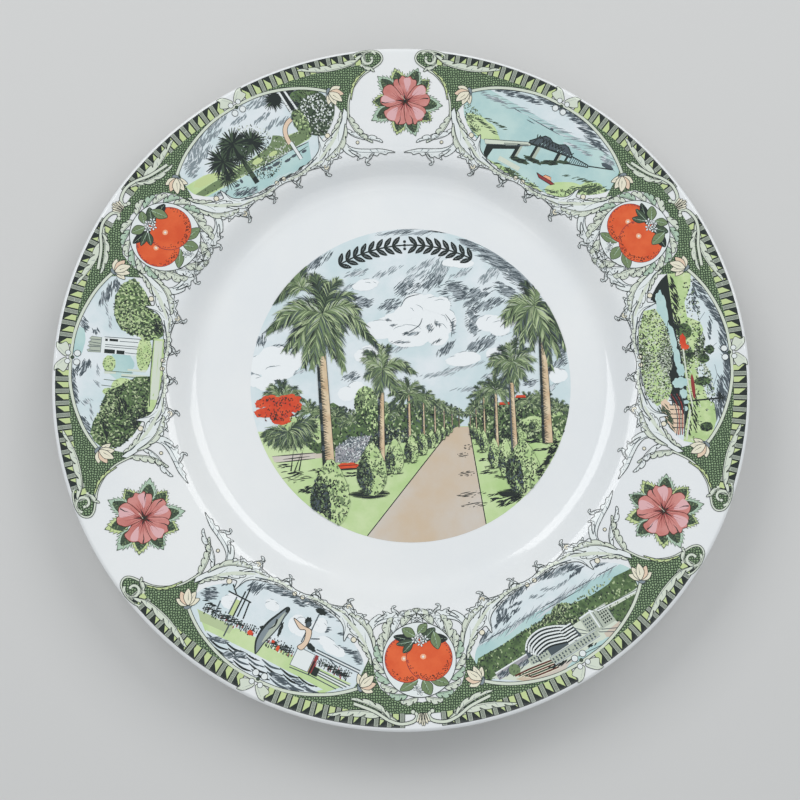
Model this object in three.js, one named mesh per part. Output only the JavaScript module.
// A wide-rimmed souvenir plate: one glazed earthenware body with seven printed transfers fired on its face.
// Millimetres, +Z up, origin on the table under the middle of the plate, +Y towards the top of the picture.
import * as THREE from 'three';

// Driving dimensions of the body.
const DIAMETER = 254;
const FLOOR_Z = 7; // top of the well floor
const FLOOR_RADIUS = 73; // where the flat floor ends and the well's wall begins
const BARE_FLOOR_RADIUS = 66; // outside this the floor has no picture, so its ring is flat and clear
const RIM_INNER_RADIUS = 89; // where the wall turns over into the rim
const RIM_INNER_Z = 15.6;
const RIM_OUTER_Z = 22.2;
const LIP_RADIUS = 1.7; // rounding of the edge
const WALL = 3.8; // thickness of the rim and the wall, measured upright
const RECESS_Z = 3; // underside of the floor, inside the foot ring
const FOOT_INNER_RADIUS = 71.8; // the flat land that the plate stands on
const FOOT_OUTER_RADIUS = 74.4;
const FOOT_BEVEL = 0.6;
const FOOT_FLARE = 1.6; // how much wider the foot is at its root
const TURNS = 96; // facets round the body

// Driving dimensions of the transfers. Each is a film of ceramic colour with a hair of space under it.
const FILM_GAP = 0.08;
const FILM_THICKNESS = 0.12;
const SCENE_RADIUS = 60;
const SCENE_CENTRE = [3.3, -0.7]; // the picture was laid a little off centre by hand
const BORDER_INNER_RADIUS = 84.5;
const BORDER_OUTER_RADIUS = 124.8;
const BORDER_SPAN = 100; // degrees
const BORDER_ANGLES = { left: 148.5, right: 30.7, lower: -87.9 };
const FLOWER_RADIUS = 13;
const FLOWER_ORBIT = 106;
const FLOWER_ANGLES = { top: 88.4, right: -29.3, left: -151.2 };

const EDGE_RADIUS = DIAMETER / 2;
const LIP_START = EDGE_RADIUS - LIP_RADIUS;
const radians = THREE.MathUtils.degToRad;

// The glazed face from the middle out to where the lip starts to round over.
function facePath() {
  const path = new THREE.Path();
  path.moveTo(0, FLOOR_Z);
  path.lineTo(BARE_FLOOR_RADIUS, FLOOR_Z);
  path.lineTo(FLOOR_RADIUS, FLOOR_Z);
  path.bezierCurveTo(
    FLOOR_RADIUS + 7, FLOOR_Z,
    RIM_INNER_RADIUS - 5.5, RIM_INNER_Z - 1.3,
    RIM_INNER_RADIUS, RIM_INNER_Z,
  );
  path.quadraticCurveTo(
    (RIM_INNER_RADIUS + LIP_START) / 2, (RIM_INNER_Z + RIM_OUTER_Z) / 2 - 0.5,
    LIP_START, RIM_OUTER_Z,
  );
  return path;
}

// The whole section of the body: the face, round the lip, back under the rim, round the foot and in to the axis.
function bodySection() {
  const path = facePath();
  path.absarc(LIP_START, RIM_OUTER_Z - LIP_RADIUS, LIP_RADIUS, Math.PI / 2, -Math.PI / 2, true);
  path.lineTo(RIM_INNER_RADIUS + 1, RIM_INNER_Z - WALL + 0.1);
  path.bezierCurveTo(
    RIM_INNER_RADIUS - 5, RIM_INNER_Z - WALL - 1.3,
    FOOT_OUTER_RADIUS + 8, RECESS_Z + 1,
    FOOT_OUTER_RADIUS + FOOT_FLARE, RECESS_Z - 0.4,
  );
  path.lineTo(FOOT_OUTER_RADIUS, FOOT_BEVEL);
  path.lineTo(FOOT_OUTER_RADIUS - FOOT_BEVEL, 0);
  path.lineTo(FOOT_INNER_RADIUS, 0);
  path.lineTo(FOOT_INNER_RADIUS - FOOT_BEVEL, FOOT_BEVEL);
  path.lineTo(FOOT_INNER_RADIUS - FOOT_BEVEL - FOOT_FLARE, RECESS_Z - 0.5);
  path.lineTo(FOOT_INNER_RADIUS - 3 * FOOT_FLARE, RECESS_Z);
  path.lineTo(0, RECESS_Z);
  return path;
}

// Points of a path with short steps on its curves and none on its straights.
function outline(path, stepsPerCurve) {
  return path.getPoints(stepsPerCurve);
}

const facePoints = outline(facePath(), 8);

// Height of the glazed face at a distance from the axis.
function faceHeight(radius) {
  const next = facePoints.findIndex((point) => point.x >= radius);
  const outer = facePoints[next];
  const inner = facePoints[next - 1];
  return THREE.MathUtils.mapLinear(radius, inner.x, outer.x, inner.y, outer.y);
}

// Moves every vertex of a geometry to where place() puts it.
function bend(geometry, place) {
  const position = geometry.attributes.position;
  const point = new THREE.Vector3();
  for (let i = 0; i < position.count; i += 1) {
    point.fromBufferAttribute(position, i);
    place(point);
    position.setXYZ(i, point.x, point.y, point.z);
  }
  return geometry;
}

// Lifts a flat film, lying over the plate at z from 0 to its thickness, on to the glazed face.
function lay(geometry) {
  return bend(geometry, (point) => {
    point.z += faceHeight(Math.hypot(point.x, point.y)) + FILM_GAP;
  });
}

function earthenware() {
  return new THREE.MeshStandardMaterial({ color: 0xe9ebea, roughness: 0.12, metalness: 0 });
}

function ink(color) {
  return new THREE.MeshStandardMaterial({ color, roughness: 0.15, metalness: 0 });
}

function plateBody() {
  const section = outline(bodySection(), 8).reverse();
  const mesh = new THREE.Mesh(new THREE.LatheGeometry(section, TURNS), earthenware());
  mesh.name = 'plate_body';
  mesh.rotation.x = Math.PI / 2;
  return mesh;
}

// A round film: a thin disc with rings, so that it can follow the rim.
function roundFilm(name, radius, centre, rings, turns, material) {
  const section = [];
  for (let i = 0; i <= rings; i += 1) section.push(new THREE.Vector2((radius * i) / rings, 0));
  for (let i = rings; i >= 0; i -= 1) section.push(new THREE.Vector2((radius * i) / rings, FILM_THICKNESS));
  const disc = new THREE.LatheGeometry(section, turns);
  disc.rotateX(Math.PI / 2);
  disc.translate(centre[0], centre[1], 0);
  const mesh = new THREE.Mesh(lay(disc), material);
  mesh.name = name;
  return mesh;
}

// The radii of a border film's steps: its two edges and every break of the face's outline between them.
const borderSteps = [
  BORDER_INNER_RADIUS,
  ...facePoints.map((point) => point.x).filter((x) => x > BORDER_INNER_RADIUS && x < BORDER_OUTER_RADIUS),
  BORDER_OUTER_RADIUS,
];

// A border film: a flat strip, one unit long for each step, whose length is turned into an arc round the rim.
function borderFilm(side, middleAngle) {
  const steps = borderSteps.length - 1;
  const strip = new THREE.BoxGeometry(steps, BORDER_SPAN, FILM_THICKNESS, steps, 25, 1);
  strip.translate(steps / 2, middleAngle, FILM_THICKNESS / 2);
  bend(strip, (point) => {
    const radius = borderSteps[Math.round(point.x)];
    const angle = radians(point.y);
    point.set(radius * Math.cos(angle), radius * Math.sin(angle), point.z);
  });
  const mesh = new THREE.Mesh(lay(strip), ink(0x4f7a4e));
  mesh.name = `border_transfer_${side}`;
  return mesh;
}

function flowerFilm(side, angle) {
  const centre = [FLOWER_ORBIT * Math.cos(radians(angle)), FLOWER_ORBIT * Math.sin(radians(angle))];
  return roundFilm(`flower_transfer_${side}`, FLOWER_RADIUS, centre, 4, 20, ink(0xd07f78));
}

const plate = new THREE.Group();
plate.name = 'souvenir_plate';
plate.add(plateBody());
plate.add(roundFilm('scene_transfer', SCENE_RADIUS, SCENE_CENTRE, 1, 64, ink(0x9fb59a)));
for (const [side, angle] of Object.entries(BORDER_ANGLES)) plate.add(borderFilm(side, angle));
for (const [side, angle] of Object.entries(FLOWER_ANGLES)) plate.add(flowerFilm(side, angle));

export default plate;
